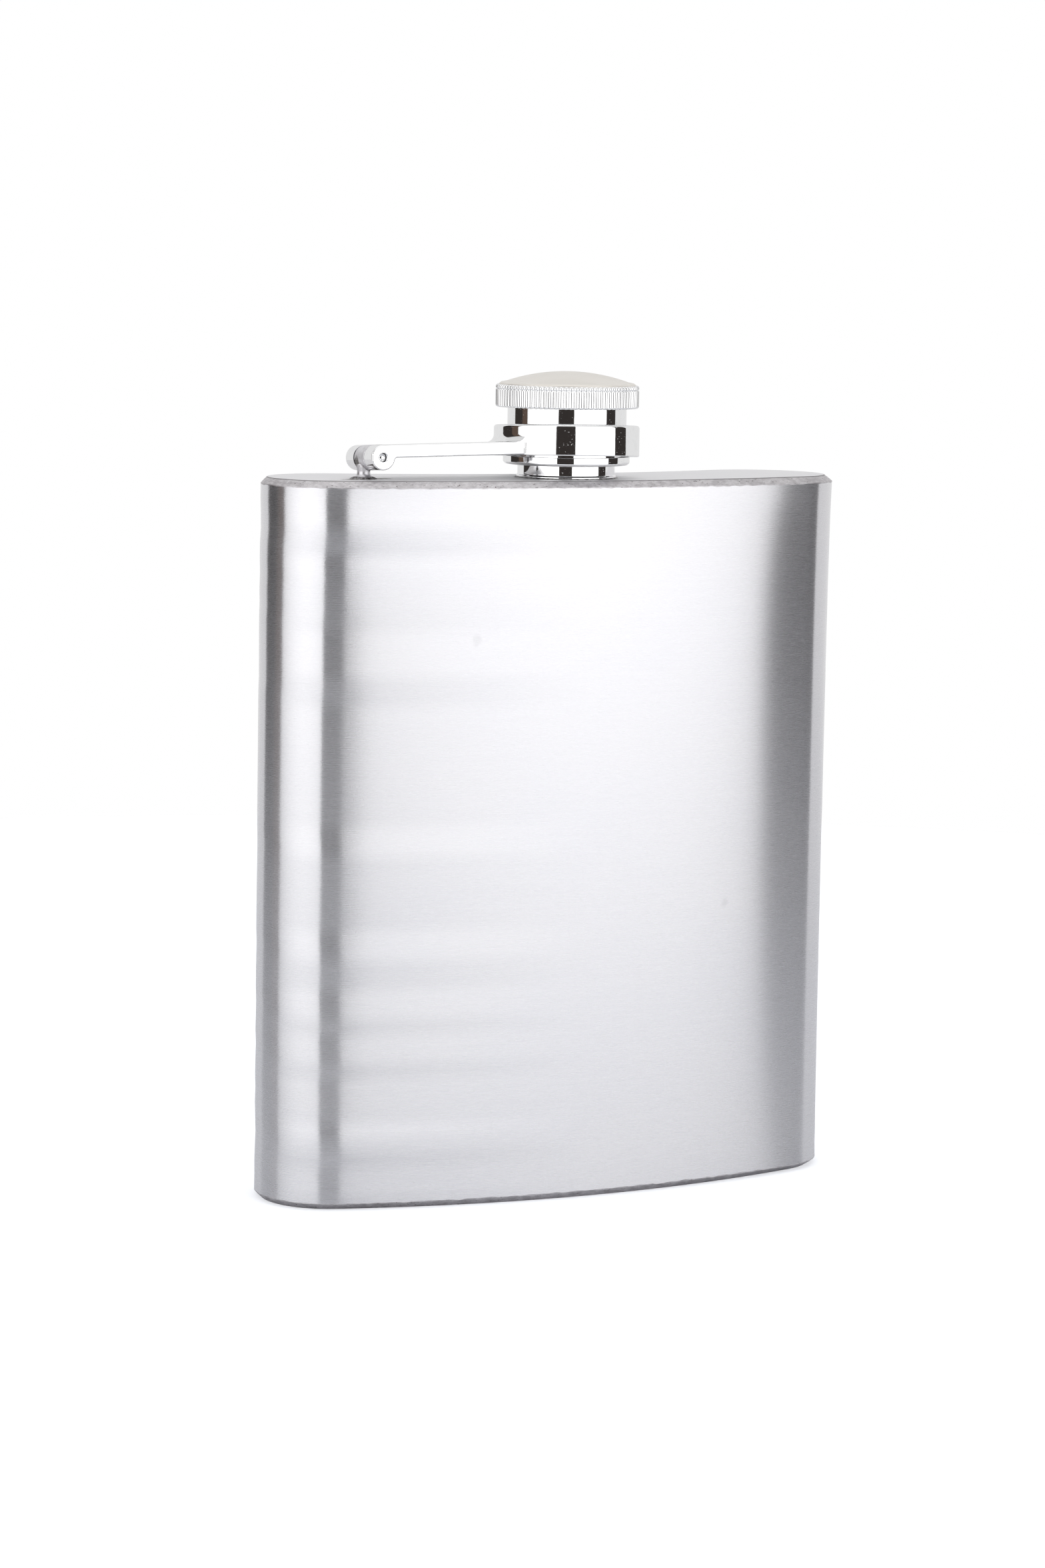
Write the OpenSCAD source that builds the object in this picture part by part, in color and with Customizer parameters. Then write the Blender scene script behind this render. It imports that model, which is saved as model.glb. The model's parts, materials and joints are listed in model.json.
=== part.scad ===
// Hip flask: curved stainless body, welded neck, screw cap held captive on a hinged collar arm.
// Frame: millimetres, +Z up. The origin is the middle of the footprint, on the surface the
// flask stands on. -Y is the bulging front, +Y the hollow back, and the arm hinge is at -X.
// Heights of the neck, hinge and cap are given above the top plate.

/* [Body] */
// Width across the two rounded ends (mm)
body_w = 93; // [88:0.5:100]
// Height from the base to the top plate (mm)
body_h = 107.5; // [85:0.5:130]
// Radius of the rounded ends (mm)
end_r = 10.9; // [10.6:0.1:12]
// Radius of the bulging front (mm)
front_r = 138; // [128:1:170]
// Radius of the hollow back (mm)
back_r = 92; // [80:1:120]
// Thickness of the folded sheet (mm)
sheet = 0.6; // [0.4:0.05:0.9]
// Thickness of the top and bottom plates (mm)
plate_t = 0.8; // [0.6:0.05:0.9]
// Width of the ground seam weld, seen from above (mm)
seam_w = 1.0; // [0.9:0.05:1.2]
// Height of the ground seam weld (mm)
seam_h = 0.95; // [0.9:0.05:1.2]
// Width of the upright weld that closes the folded sheet (mm)
side_weld_w = 1.4; // [1:0.1:2]

/* [Neck] */
// Neck position to the right of the middle (mm)
neck_x = -0.5; // [-1:0.1:1]
// Neck outer radius (mm)
neck_r = 7.26; // [7.1:0.02:7.3]
// Mouth bore radius (mm)
bore_r = 6.3; // [6:0.05:6.4]
// Neck height above the top plate (mm)
neck_h = 10.15; // [10.05:0.05:10.2]
// Thread pitch (mm)
pitch = 1.5; // [1.4:0.05:1.55]

/* [Cap] */
// Radius over the knurled head (mm)
head_r = 10.7; // [10.5:0.05:11]
// Number of knurl ribs
ribs = 86; // [70:1:88]
// Radius of one rib (mm)
rib_r = 0.34; // [0.3:0.01:0.35]
// Underside of the knurled head (mm)
head_z = 10.5; // [10.45:0.05:10.7]
// Top of the knurled band (mm)
band_z = 13.7; // [13.6:0.05:14]
// Top of the domed disc (mm)
dome_z = 15.75; // [15.4:0.05:16.2]
// Skirt outer radius (mm)
skirt_r = 8.86; // [8.84:0.01:8.9]
// Skirt bore radius at the thread crests (mm)
crest_r = 7.95; // [7.93:0.01:8]
// Bottom edge of the cap (mm)
cap_z = 2.0; // [1.95:0.01:2.05]
// Radius over the retaining ring (mm)
keeper_r = 9.45; // [9.42:0.01:9.5]

/* [Arm] */
// Hinge position to the right of the middle (mm)
hinge_x = -32.45; // [-33:0.05:-32]
// Hinge pin height above the top plate (mm)
hinge_z = 3.12; // [3.1:0.01:3.2]
// How far the post stands to the left of the hinge pin (mm)
post_left = 0.8; // [0:0.1:0.8]
// How far the post stands behind the middle of the knuckle (mm)
post_back = 0.5; // [0:0.1:0.5]
// Lean of the welded hinge and its arm about the long axis (deg)
arm_lean = 3; // [0:0.5:3]
// Rise of the strap towards the collar (deg)
strap_rise = 1.0; // [0.6:0.1:1.2]
// Tilt of the collar down towards its free side (deg)
collar_tilt = 1.1; // [0:0.1:1.2]
// Strap width at the hinge fork (mm)
fork_w = 9.7; // [9.4:0.1:10]
// Strap width at the collar (mm)
strap_w = 11; // [10:0.1:12]
// Strap thickness (mm)
strap_t = 1.87; // [1.7:0.01:1.95]
// Collar outer radius (mm)
collar_r = 10.88; // [10.8:0.02:11.2]
// Collar bore radius (mm)
collar_bore_r = 9.2; // [9.18:0.01:9.22]
// Collar height (mm)
collar_h = 4.63; // [4.5:0.01:4.7]
// Middle height of the collar (mm)
collar_z = 5.43; // [5.4:0.01:5.5]
// Radius of the hinge eyes and knuckle (mm)
eye_r = 1.85; // [1.8:0.01:1.9]
// Width of the middle knuckle (mm)
knuckle_w = 3.3; // [3:0.1:3.5]
// Hinge pin radius (mm)
pin_r = 0.6; // [0.5:0.01:0.65]
// Radial clearance round the hinge pin (mm)
pin_gap = 0.05; // [0.02:0.01:0.1]

/* [Hidden] */
$fn = 180;
half_x = body_w / 2 - end_r;
// Arc centres, kept to a thousandth so that neighbouring arcs meet cleanly
front_cy = round(1000 * sqrt(pow(front_r - end_r, 2) - pow(half_x, 2))) / 1000;
back_cy = round(1000 * sqrt(pow(back_r + end_r, 2) - pow(half_x, 2))) / 1000;
front_a = asin(half_x / (front_r - end_r));
back_a = asin(half_x / (back_r + end_r));
front_y = front_cy - front_r;
back_y = back_cy - back_r;
mid_y = -(front_y + end_r) / 2;
neck_y = mid_y + (front_y + back_y) / 2;
head_core_r = head_r - rib_r;
root_r = neck_r - 0.46;
cap_root_r = crest_r + 0.4;
seal_z = neck_h + 0.05;
seal_t = 1.0;
foot_r = neck_r + 0.22;
knuckle_gap = 0.3;
pin_recess = 0.35;

function arc(x, y, r, a0, a1, n) =
    [for (i = [0:n]) let (a = a0 + (a1 - a0) * i / n) [x + r * cos(a), y + r * sin(a)]];
function open_arc(x, y, r, a0, a1, n) = [for (i = [0:n - 1]) arc(x, y, r, a0, a1, n)[i]];

// Unit vectors from the end centre to where the front and back arcs start.
function to_front(s) = [s * sin(front_a), -cos(front_a)];
function to_back(s) = [-s * sin(back_a), cos(back_a)];

// Body outline moved inwards by c: two rounded ends, a bulging front and a hollow back.
module outline(c) {
    difference() {
        intersection() {
            translate([0, front_cy]) circle(r = front_r - c);
            polygon([[half_x, 0] + 22 * to_front(1), [half_x, 0], [half_x, 0] + 22 * to_back(1),
                [-half_x, 0] + 22 * to_back(-1), [-half_x, 0], [-half_x, 0] + 22 * to_front(-1)]);
        }
        translate([0, back_cy]) circle(r = back_r + c);
    }
    for (s = [-1, 1]) intersection() {
        translate([s * half_x, 0]) circle(r = end_r - c);
        polygon([[s * half_x, 0], [s * half_x, 0] + 22 * to_front(s), [s * (half_x + 30), -30],
            [s * (half_x + 30), 30], [s * half_x, 0] + 22 * to_back(s)]);
    }
}

// The same outline as a loop of points, for the seam welds.
function loop(c) = concat(
    open_arc(0, front_cy, front_r - c, -90 - front_a, -90 + front_a, 40),
    open_arc(half_x, 0, end_r - c, -90 + front_a, 90 + back_a, 36),
    open_arc(0, back_cy, back_r + c, -90 + back_a, -90 - back_a, 30),
    open_arc(-half_x, 0, end_r - c, 90 - back_a, 270 - front_a, 36));

// Seam weld: a bead of triangular section from the sheet's edge up (or down) to the plate's face.
module seam_bead(edge_z, face_z) {
    outer = loop(0);
    inner = loop(seam_w - 0.03);
    n = len(outer);
    flip = face_z < edge_z;
    quads = [for (i = [0:n - 1], k = [0:2]) let (j = (i + 1) % n, m = (k + 1) % 3)
        [k * n + i, m * n + i, m * n + j, k * n + j]];
    polyhedron(
        points = concat([for (p = outer) [p[0], p[1], edge_z]], [for (p = inner) [p[0], p[1], face_z]],
            [for (p = inner) [p[0], p[1], edge_z]]),
        faces = flip ? [for (q = quads) [q[3], q[2], q[1], q[0]]] : quads);
}

// Thread ridges as a saw of points going up: root radius, crest radius, first ridge, count.
function ridges(root, crest, z0, n) =
    [for (i = [0:n - 1], p = [[root, -0.5], [crest, -0.12], [crest, 0.12], [root, 0.5]])
        [p[0], z0 + i * pitch + p[1]]];

module on_top(x, y) {
    translate([x, y, body_h]) children();
}

// Children drawn at the hinge pin, in the frame of the leaning hinge.
module at_hinge() {
    on_top(hinge_x, neck_y) translate([0, 0, hinge_z]) rotate([-arm_lean, 0, 0]) children();
}

module body_shell() {
    color([0.72, 0.72, 0.74]) difference() {
        translate([0, mid_y, seam_h]) linear_extrude(body_h - 2 * seam_h) outline(0);
        translate([0, mid_y, -1]) linear_extrude(body_h + 2) outline(sheet);
        translate([half_x + end_r - 2, mid_y - side_weld_w / 2, -1])
            cube([4, side_weld_w, body_h + 2]);
    }
}

module side_seam_weld() {
    color([0.6, 0.6, 0.62]) translate([half_x, mid_y, seam_h])
        linear_extrude(body_h - 2 * seam_h) intersection() {
            difference() {
                circle(r = end_r);
                circle(r = end_r - sheet - 0.2);
            }
            translate([end_r - 2, -side_weld_w / 2]) square([4, side_weld_w]);
        }
}

module top_seam_weld() {
    color([0.62, 0.62, 0.64]) translate([0, mid_y, 0]) seam_bead(body_h - seam_h, body_h);
}

module bottom_seam_weld() {
    color([0.62, 0.62, 0.64]) translate([0, mid_y, 0]) seam_bead(seam_h, 0);
}

module top_plate() {
    color([0.8, 0.8, 0.82]) difference() {
        translate([0, mid_y, body_h - plate_t]) linear_extrude(plate_t) outline(seam_w);
        translate([neck_x, neck_y, body_h - 3]) cylinder(r = neck_r - 0.2, h = 6);
    }
}

module bottom_plate() {
    color([0.8, 0.8, 0.82]) translate([0, mid_y, 0]) linear_extrude(plate_t) outline(seam_w);
}

module neck_tube() {
    color([0.82, 0.82, 0.84]) on_top(neck_x, neck_y) rotate_extrude()
        polygon(concat([[bore_r, -1.6], [neck_r - 0.26, -1.6], [neck_r - 0.26, 0], [foot_r, 0],
            [foot_r, 0.3], [neck_r, 0.45], [neck_r, 2.7], [root_r, 3.1]],
            ridges(root_r, neck_r - 0.06, 3.85, 4),
            [[root_r, neck_h - 0.25], [root_r - 0.25, neck_h], [bore_r + 0.15, neck_h],
            [bore_r, neck_h - 0.15]]));
}

module neck_weld() {
    color([0.45, 0.44, 0.44]) on_top(neck_x, neck_y) rotate_extrude()
        polygon([[foot_r, 0], [foot_r + 0.32, 0], [foot_r + 0.12, 0.12], [foot_r, 0.24]]);
}

module hinge_post() {
    color([0.8, 0.8, 0.8]) difference() {
        union() {
            on_top(hinge_x - post_left, neck_y + post_back) rotate_extrude()
                polygon([[0, 0], [1.3, 0], [1.3, 0.3], [1.0, 0.62], [0.95, 1.0], [1.0, 1.5],
                    [1.1, hinge_z - 1], [0, hinge_z - 1]]);
            at_hinge() rotate([90, 0, 0]) cylinder(r = eye_r, h = knuckle_w, center = true);
        }
        at_hinge() rotate([90, 0, 0]) cylinder(r = pin_r + pin_gap, h = 12, center = true);
    }
}

module hinge_weld() {
    color([0.35, 0.34, 0.34]) on_top(hinge_x - post_left, neck_y + post_back) rotate_extrude()
        polygon([[1.3, 0], [2.05, 0], [1.75, 0.14], [1.3, 0.36]]);
}

module hinge_pin() {
    half = fork_w / 2 - pin_recess;
    color([0.7, 0.7, 0.72]) at_hinge() rotate([90, 0, 0]) rotate_extrude()
        polygon([[0, -half], [pin_r - 0.15, -half], [pin_r, 0.15 - half], [pin_r, half - 0.15],
            [pin_r - 0.15, half], [0, half]]);
}

// Side view of the strap and its hanging eye, pin at the origin.
module strap_side() {
    reach = neck_x - hinge_x - 7;
    rise = reach * tan(strap_rise);
    drop = eye_r - strap_t;
    circle(r = eye_r);
    polygon([[0, drop], [reach, drop + rise], [reach, drop + rise + strap_t], [0, eye_r]]);
    difference() {
        polygon([[1, drop + 0.1], [2.3, drop + 0.1], [2.3, -0.42], [1, -1.2]]);
        translate([2.3, -0.5]) circle(r = 0.5);
    }
}

module collar_arm() {
    round = 0.5;
    floor_r = keeper_r + 0.35;
    color([0.84, 0.84, 0.86]) difference() {
        union() {
            intersection() {
                at_hinge() rotate([90, 0, 0]) linear_extrude(strap_w + 2, center = true) strap_side();
                on_top(hinge_x, neck_y) translate([0, 0, -5]) linear_extrude(20)
                    polygon([[-5, -fork_w / 2], [3, -fork_w / 2], [22, -strap_w / 2],
                        [30, -strap_w / 2], [30, strap_w / 2], [22, strap_w / 2], [3, fork_w / 2],
                        [-5, fork_w / 2]]);
            }
            at_collar() rotate_extrude()
                polygon(concat(arc(collar_r - round, -collar_h / 2 + round, round, -90, 0, 5),
                    arc(collar_r - round, collar_h / 2 - round, round, 0, 90, 5),
                    [[collar_bore_r + 0.2, collar_h / 2], [collar_bore_r, collar_h / 2 - 0.2],
                    [collar_bore_r, -collar_h / 2]]));
        }
        at_collar() cylinder(r = collar_bore_r, h = 12, center = true);
        at_collar() translate([0, 0, -collar_h / 2 - 4]) cylinder(r = floor_r, h = 4.95);
        at_hinge() rotate([90, 0, 0]) cylinder(r = pin_r + pin_gap, h = 14, center = true);
        at_hinge() translate([-4, -knuckle_w / 2 - knuckle_gap, -4])
            cube([4 + eye_r + 0.4, knuckle_w + 2 * knuckle_gap, 8]);
    }
}

module at_collar() {
    on_top(neck_x, neck_y) translate([0, 0, collar_z]) rotate([-arm_lean, collar_tilt, 0])
        children();
}

module cap_shell() {
    color([0.86, 0.86, 0.88]) on_top(neck_x, neck_y) {
        rotate_extrude()
            polygon(concat([[skirt_r, cap_z + 0.4], [skirt_r, head_z - 0.15],
                [skirt_r + 0.15, head_z], [head_core_r, head_z], [head_core_r, band_z - 0.1],
                [head_core_r - 0.1, band_z], [9.75, band_z], [9.75, 12.6], [0, 12.6],
                [0, seal_z + seal_t], [cap_root_r, seal_z + seal_t]],
                [for (i = [0:15]) let (p = ridges(cap_root_r, crest_r, 4.6, 4)) p[15 - i]],
                [[cap_root_r, cap_z + 0.4]]));
        intersection() {
            translate([0, 0, head_z]) linear_extrude(band_z - head_z)
                for (i = [0:ribs - 1]) rotate(i * 360 / ribs)
                    translate([head_core_r, 0]) circle(r = rib_r, $fn = 24);
            rotate_extrude()
                polygon([[9.9, head_z], [head_r - 0.3, head_z], [head_r + 0.01, head_z + 0.3],
                    [head_r + 0.01, band_z - 0.42], [head_r - 0.12, band_z - 0.2],
                    [head_r - 0.4, band_z], [9.9, band_z]]);
        }
    }
}

module cap_dome() {
    rim = head_core_r - 0.16;
    sphere_r = (rim * rim + pow(dome_z - band_z - 0.12, 2)) / (2 * (dome_z - band_z - 0.12));
    color([0.93, 0.92, 0.89]) on_top(neck_x, neck_y) rotate_extrude() difference() {
        intersection() {
            translate([0, dome_z - sphere_r]) circle(r = sphere_r, $fn = 720);
            polygon(concat([[0, band_z - 0.6], [9.7, band_z - 0.6], [9.7, band_z]],
                arc(rim - 0.45, band_z + 0.5, 0.45, -90, 0, 3),
                arc(rim - 0.9, band_z + 0.5, 0.9, 0, 48, 5), [[rim - 1.4, 20], [0, 20]]));
        }
        intersection() {
            translate([0, dome_z - sphere_r]) circle(r = sphere_r - 0.7, $fn = 720);
            polygon([[-1, 0], [9.1, 0], [9.1, 20], [-1, 20]]);
        }
    }
}

module cap_retaining_ring() {
    color([0.78, 0.78, 0.8]) on_top(neck_x, neck_y) rotate_extrude()
        polygon([[crest_r, cap_z], [keeper_r - 0.25, cap_z], [keeper_r, cap_z + 0.25],
            [keeper_r, cap_z + 1.3], [skirt_r, cap_z + 1.3], [skirt_r, cap_z + 0.4],
            [crest_r, cap_z + 0.4]]);
}

module cap_seal() {
    color([0.9, 0.9, 0.88]) on_top(neck_x, neck_y) translate([0, 0, seal_z])
        cylinder(r = cap_root_r - 0.1, h = seal_t);
}

body_shell();
top_plate();
bottom_plate();
top_seam_weld();
bottom_seam_weld();
side_seam_weld();
neck_tube();
neck_weld();
hinge_post();
hinge_weld();
hinge_pin();
collar_arm();
cap_shell();
cap_dome();
cap_retaining_ring();
cap_seal();
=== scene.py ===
"""Hip flask, the visible model: fine meshes, materials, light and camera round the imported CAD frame.

Axes are the frame's: +Z up, -Y the bulging front, +Y the hollow back, -X the hinge end.
Meshes are drawn in millimetres and scaled to metres when they are placed.
"""
import json
import math

import bmesh
import bpy
import numpy as np
from mathutils import Matrix, Vector


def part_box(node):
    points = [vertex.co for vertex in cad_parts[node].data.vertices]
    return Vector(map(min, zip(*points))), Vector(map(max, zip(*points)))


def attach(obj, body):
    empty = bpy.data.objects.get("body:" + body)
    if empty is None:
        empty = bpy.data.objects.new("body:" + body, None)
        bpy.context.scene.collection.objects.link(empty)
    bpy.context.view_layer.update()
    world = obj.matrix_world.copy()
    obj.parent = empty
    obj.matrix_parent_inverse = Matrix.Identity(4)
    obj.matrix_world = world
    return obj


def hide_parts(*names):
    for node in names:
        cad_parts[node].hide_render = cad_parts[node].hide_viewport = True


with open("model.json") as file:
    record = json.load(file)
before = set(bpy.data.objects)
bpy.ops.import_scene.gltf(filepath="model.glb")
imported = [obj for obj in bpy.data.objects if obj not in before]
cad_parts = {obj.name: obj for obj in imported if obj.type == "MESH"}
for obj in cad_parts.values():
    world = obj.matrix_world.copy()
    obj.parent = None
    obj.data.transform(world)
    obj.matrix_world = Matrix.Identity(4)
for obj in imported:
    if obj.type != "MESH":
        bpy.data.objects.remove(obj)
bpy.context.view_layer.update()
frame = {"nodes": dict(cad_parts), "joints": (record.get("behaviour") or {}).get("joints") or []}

MM = 0.001
TAU = 2 * math.pi


def node_box(name):
    """Lowest and highest corner of a CAD node, in millimetres."""
    low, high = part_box(name)
    return low / MM, high / MM


# ---------------------------------------------------------------- sizes, in millimetres

joints = {joint["name"]: joint for joint in frame["joints"]}
hinge_at = Vector(joints["arm_swing"]["pos_m"]) / MM
hinge_axis = Vector(joints["arm_swing"]["axis"])
post_low, post_high = node_box("hinge_weld")
post_at = (post_low + post_high) / 2
cap_at = Vector(joints["cap_turn"]["pos_m"]) / MM

seam_low, seam_high = node_box("top_seam_weld")
TOP_Z = seam_high.z
SEAM_H = seam_high.z - seam_low.z
HALF_W = seam_high.x
FRONT_Y = seam_low.y
BACK_Y = seam_high.y
END_R = 10.9
FRONT_R = 138.0
BACK_R = 92.0
SHEET_T = 0.6
SEAM_W = 1.0
SIDE_WELD_W = 1.4
SKIN = 0.006

NECK_R = 7.26
BORE_R = 6.3
NECK_H = 10.15
PITCH = 1.5
RIBS = 86
RIB_R = 0.35
BEAD_H = 0.62
CORE_R = 10.36
HEAD_Z = 10.5
BAND_Z = 13.7
DOME_Z = 15.75
SKIRT_R = 8.86
CREST_R = 7.95
CAP_Z = 2.0
KEEPER_R = 9.45
SEAL_TOP = 11.2

COLLAR_R = 10.86
COLLAR_BORE_R = 9.2
COLLAR_H = 4.63
COLLAR_Z = 5.43
COLLAR_TILT = 1.1
STRAP_RISE = 1.0
STRAP_T = 1.87
FORK_W = 9.7
STRAP_W = 11.0
EYE_R = 1.85
KNUCKLE_W = 3.3
KNUCKLE_GAP = 0.3
PIN_R = 0.6
PIN_GAP = 0.05
PIN_HALF = 4.5
SIDE_FILLET = 0.35
TOP_FILLET = 1.2

# ---------------------------------------------------------------- mesh helpers


def ease(low, high, value):
    """0 below low, 1 above high, and a smooth step between."""
    t = np.clip((value - low) / (high - low), 0, 1)
    return t * t * (3 - 2 * t)


def grid_mesh(name, rings, stack_closed=False, caps=False):
    """Mesh of quads through rings, an array of rows x points x 3. Rows are closed loops.

    stack_closed joins the last row to the first; caps closes the first and the last row.
    """
    rows, count, _ = rings.shape
    index = np.arange(rows * count).reshape(rows, count)
    lower = index if stack_closed else index[:-1]
    upper = np.roll(index, -1, axis=0) if stack_closed else index[1:]
    quads = np.stack([lower, np.roll(lower, -1, axis=1), np.roll(upper, -1, axis=1), upper], axis=-1)
    faces = quads.reshape(-1, 4).tolist()
    if caps:
        faces += [index[0][::-1].tolist(), index[-1].tolist()]
    mesh = bpy.data.meshes.new(name)
    mesh.from_pydata(rings.reshape(-1, 3).tolist(), [], faces)
    return mesh


def tidy(mesh, sharp=32):
    """Welds coincident points, turns the faces outwards and smooths all but the sharp edges."""
    work = bmesh.new()
    work.from_mesh(mesh)
    bmesh.ops.remove_doubles(work, verts=work.verts, dist=1e-5)
    bmesh.ops.recalc_face_normals(work, faces=work.faces)
    work.to_mesh(mesh)
    work.free()
    mesh.shade_smooth()
    mesh.set_sharp_from_angle(angle=math.radians(sharp))
    return mesh


def rounded(corners, steps=6):
    """Profile through corners (r, z, fillet radius), with an arc in place of each filleted corner."""
    points = []
    count = len(corners)
    for i, corner in enumerate(corners):
        at = np.array(corner[:2], float)
        radius = corner[2] if len(corner) > 2 else 0
        if not radius:
            points.append(at)
            continue
        before = np.array(corners[i - 1][:2], float) - at
        after = np.array(corners[(i + 1) % count][:2], float) - at
        before /= np.linalg.norm(before)
        after /= np.linalg.norm(after)
        half = math.acos(np.clip(before @ after, -1, 1)) / 2
        reach = radius / math.tan(half)
        middle = before + after
        centre = at + middle / np.linalg.norm(middle) * radius / math.sin(half)
        first, last = at + before * reach - centre, at + after * reach - centre
        turn = math.pi - 2 * half
        for k in range(steps + 1):
            share = k / steps
            weight = math.sin((1 - share) * turn), math.sin(share * turn)
            points.append(centre + (first * weight[0] + last * weight[1]) / math.sin(turn))
    return np.array(points)


def spaced(profile, step):
    """The same closed profile with points added so that none are more than step apart.

    step may be a function of the place (r, z).
    """
    out = []
    for a, b in zip(profile, np.roll(profile, -1, axis=0)):
        apart = step((a + b) / 2) if callable(step) else step
        parts = max(1, math.ceil(np.linalg.norm(b - a) / apart))
        out += [a + (b - a) * k / parts for k in range(parts)]
    return np.array(out)


def lathe(name, profile, segments, lift=None, sharp=32):
    """Turns a closed profile of (r, z) round the Z axis.

    lift(theta, r, z) is how far points are raised along the profile's normal.
    """
    theta = np.linspace(0, TAU, segments, endpoint=False)[None, :]
    r = profile[:, 0][:, None] + 0 * theta
    z = profile[:, 1][:, None] + 0 * theta
    if lift is not None:
        along = np.roll(profile, -1, axis=0) - np.roll(profile, 1, axis=0)
        along /= np.linalg.norm(along, axis=1)[:, None] + 1e-12
        height = lift(theta, r, z)
        r, z = r + height * along[:, 1][:, None], z - height * along[:, 0][:, None]
    rings = np.stack([r * np.cos(theta), r * np.sin(theta), z], axis=-1)
    return tidy(grid_mesh(name, rings, stack_closed=True), sharp)


def arc_points(x, y, radius, start, end, steps):
    """Points on an arc, angles in degrees, ends included."""
    angles = np.radians(np.linspace(start, end, steps + 1))
    return np.stack([x + radius * np.cos(angles), y + radius * np.sin(angles)], axis=1)


def finished(name, work):
    """A new mesh made from bmesh work, which is freed."""
    mesh = bpy.data.meshes.new(name)
    work.to_mesh(mesh)
    work.free()
    return mesh


def block(name, low, high):
    """Box between its lowest and highest corner."""
    work = bmesh.new()
    bmesh.ops.create_cube(work, size=1.0)
    for v in work.verts:
        v.co = Vector([last if c > 0 else first for first, last, c in zip(low, high, v.co)])
    return finished(name, work)


def applied(mesh, *modifiers):
    """The mesh with modifiers applied, each given as (type, {setting: value})."""
    holder = bpy.data.objects.new(mesh.name, mesh)
    bpy.context.collection.objects.link(holder)
    for kind, settings in modifiers:
        modifier = holder.modifiers.new(kind, kind)
        for key, value in settings.items():
            setattr(modifier, key, value)
    graph = bpy.context.evaluated_depsgraph_get()
    result = bpy.data.meshes.new_from_object(holder.evaluated_get(graph))
    bpy.data.objects.remove(holder)
    result.name = mesh.name
    return result


def combined(mesh, other, operation):
    """Exact boolean of two meshes in millimetres."""
    cutter = bpy.data.objects.new(other.name, other)
    bpy.context.collection.objects.link(cutter)
    result = applied(mesh, ("BOOLEAN", {"object": cutter, "operation": operation, "solver": "EXACT"}))
    bpy.data.objects.remove(cutter)
    return result


def place(node, body, material, mesh, matrix=None):
    """Puts a mesh drawn in millimetres into the frame as the piece that stands for a CAD node."""
    if matrix is not None:
        mesh.transform(matrix)
    mesh.transform(Matrix.Scale(MM, 4))
    mesh.update()
    piece = bpy.data.objects.new(node + "_fine", mesh)
    bpy.context.collection.objects.link(piece)
    mesh.materials.clear()
    mesh.materials.append(material)
    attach(piece, body)
    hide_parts(node)
    return piece


# ---------------------------------------------------------------- material helpers


def shader(tree, kind, inputs=None, **settings):
    """Adds a node, sets its settings, and links or sets its inputs. Returns the node."""
    made = tree.nodes.new(kind)
    for key, value in settings.items():
        setattr(made, key, value)
    for key, value in (inputs or {}).items():
        if isinstance(value, bpy.types.NodeSocket):
            tree.links.new(value, made.inputs[key])
        else:
            made.inputs[key].default_value = value
    return made


def maths(tree, operation, *values):
    """Output of a maths node with the values, numbers or sockets, as its inputs."""
    made = shader(tree, "ShaderNodeMath", dict(enumerate(values)), operation=operation)
    return made.outputs[0]


def remap(tree, value, low, high, to_low, to_high, smooth=True):
    """Maps low..high to to_low..to_high, clamped."""
    names = {"Value": value, "From Min": low, "From Max": high, "To Min": to_low, "To Max": to_high}
    kind = "SMOOTHSTEP" if smooth else "LINEAR"
    return shader(tree, "ShaderNodeMapRange", names, interpolation_type=kind).outputs["Result"]


def blend_colour(tree, share, first, second):
    """Mix of two colours: first where share is 0, second where it is 1."""
    made = shader(tree, "ShaderNodeMix", data_type="RGBA")
    for socket, value in ((made.inputs[0], share), (made.inputs[6], first), (made.inputs[7], second)):
        if isinstance(value, bpy.types.NodeSocket):
            tree.links.new(value, socket)
        else:
            socket.default_value = value
    return made.outputs[2]


def noise(tree, point, per_mm, detail=3, roughness=0.5, turn=(0, 0, 0)):
    """Noise with per_mm features to the millimetre along x, y and z, after a turn in degrees."""
    turned = shader(tree, "ShaderNodeMapping", {"Vector": point,
        "Rotation": tuple(math.radians(a) for a in turn)}, vector_type="POINT").outputs[0]
    scaled = shader(tree, "ShaderNodeVectorMath",
        {0: turned, 1: tuple(n / MM for n in per_mm)}, operation="MULTIPLY").outputs[0]
    return shader(tree, "ShaderNodeTexNoise", {"Vector": scaled, "Scale": 1.0, "Detail": detail,
        "Roughness": roughness}).outputs["Fac"]


def bump(tree, height, strength, distance, normal=None):
    """distance is in millimetres."""
    names = {"Height": height, "Strength": strength, "Distance": distance * MM}
    if normal is not None:
        names["Normal"] = normal
    return shader(tree, "ShaderNodeBump", names).outputs[0]


def near(tree, point, place_mm, stretch=(1, 1, 1)):
    """Distance in millimetres from a place, with each axis divided by its stretch."""
    away = shader(tree, "ShaderNodeVectorMath", {0: point, 1: tuple(c * MM for c in place_mm)},
        operation="SUBTRACT").outputs[0]
    scaled = shader(tree, "ShaderNodeVectorMath", {0: away, 1: tuple(1 / (s * MM) for s in stretch)},
        operation="MULTIPLY").outputs[0]
    return shader(tree, "ShaderNodeVectorMath", {0: scaled}, operation="LENGTH").outputs["Value"]


def new_material(name):
    """A material with a principled shader: returns material, tree, shader node and object coordinates."""
    material = bpy.data.materials.new(name)
    material.use_nodes = True
    tree = material.node_tree
    surface = tree.nodes["Principled BSDF"]
    point = shader(tree, "ShaderNodeTexCoord").outputs["Object"]
    return material, tree, surface, point


def feed(tree, surface, **inputs):
    """Links or sets inputs of the principled shader, named with underscores for spaces."""
    for key, value in inputs.items():
        socket = surface.inputs[key.replace("_", " ")]
        if isinstance(value, bpy.types.NodeSocket):
            tree.links.new(value, socket)
        else:
            socket.default_value = value


# ---------------------------------------------------------------- materials

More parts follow.
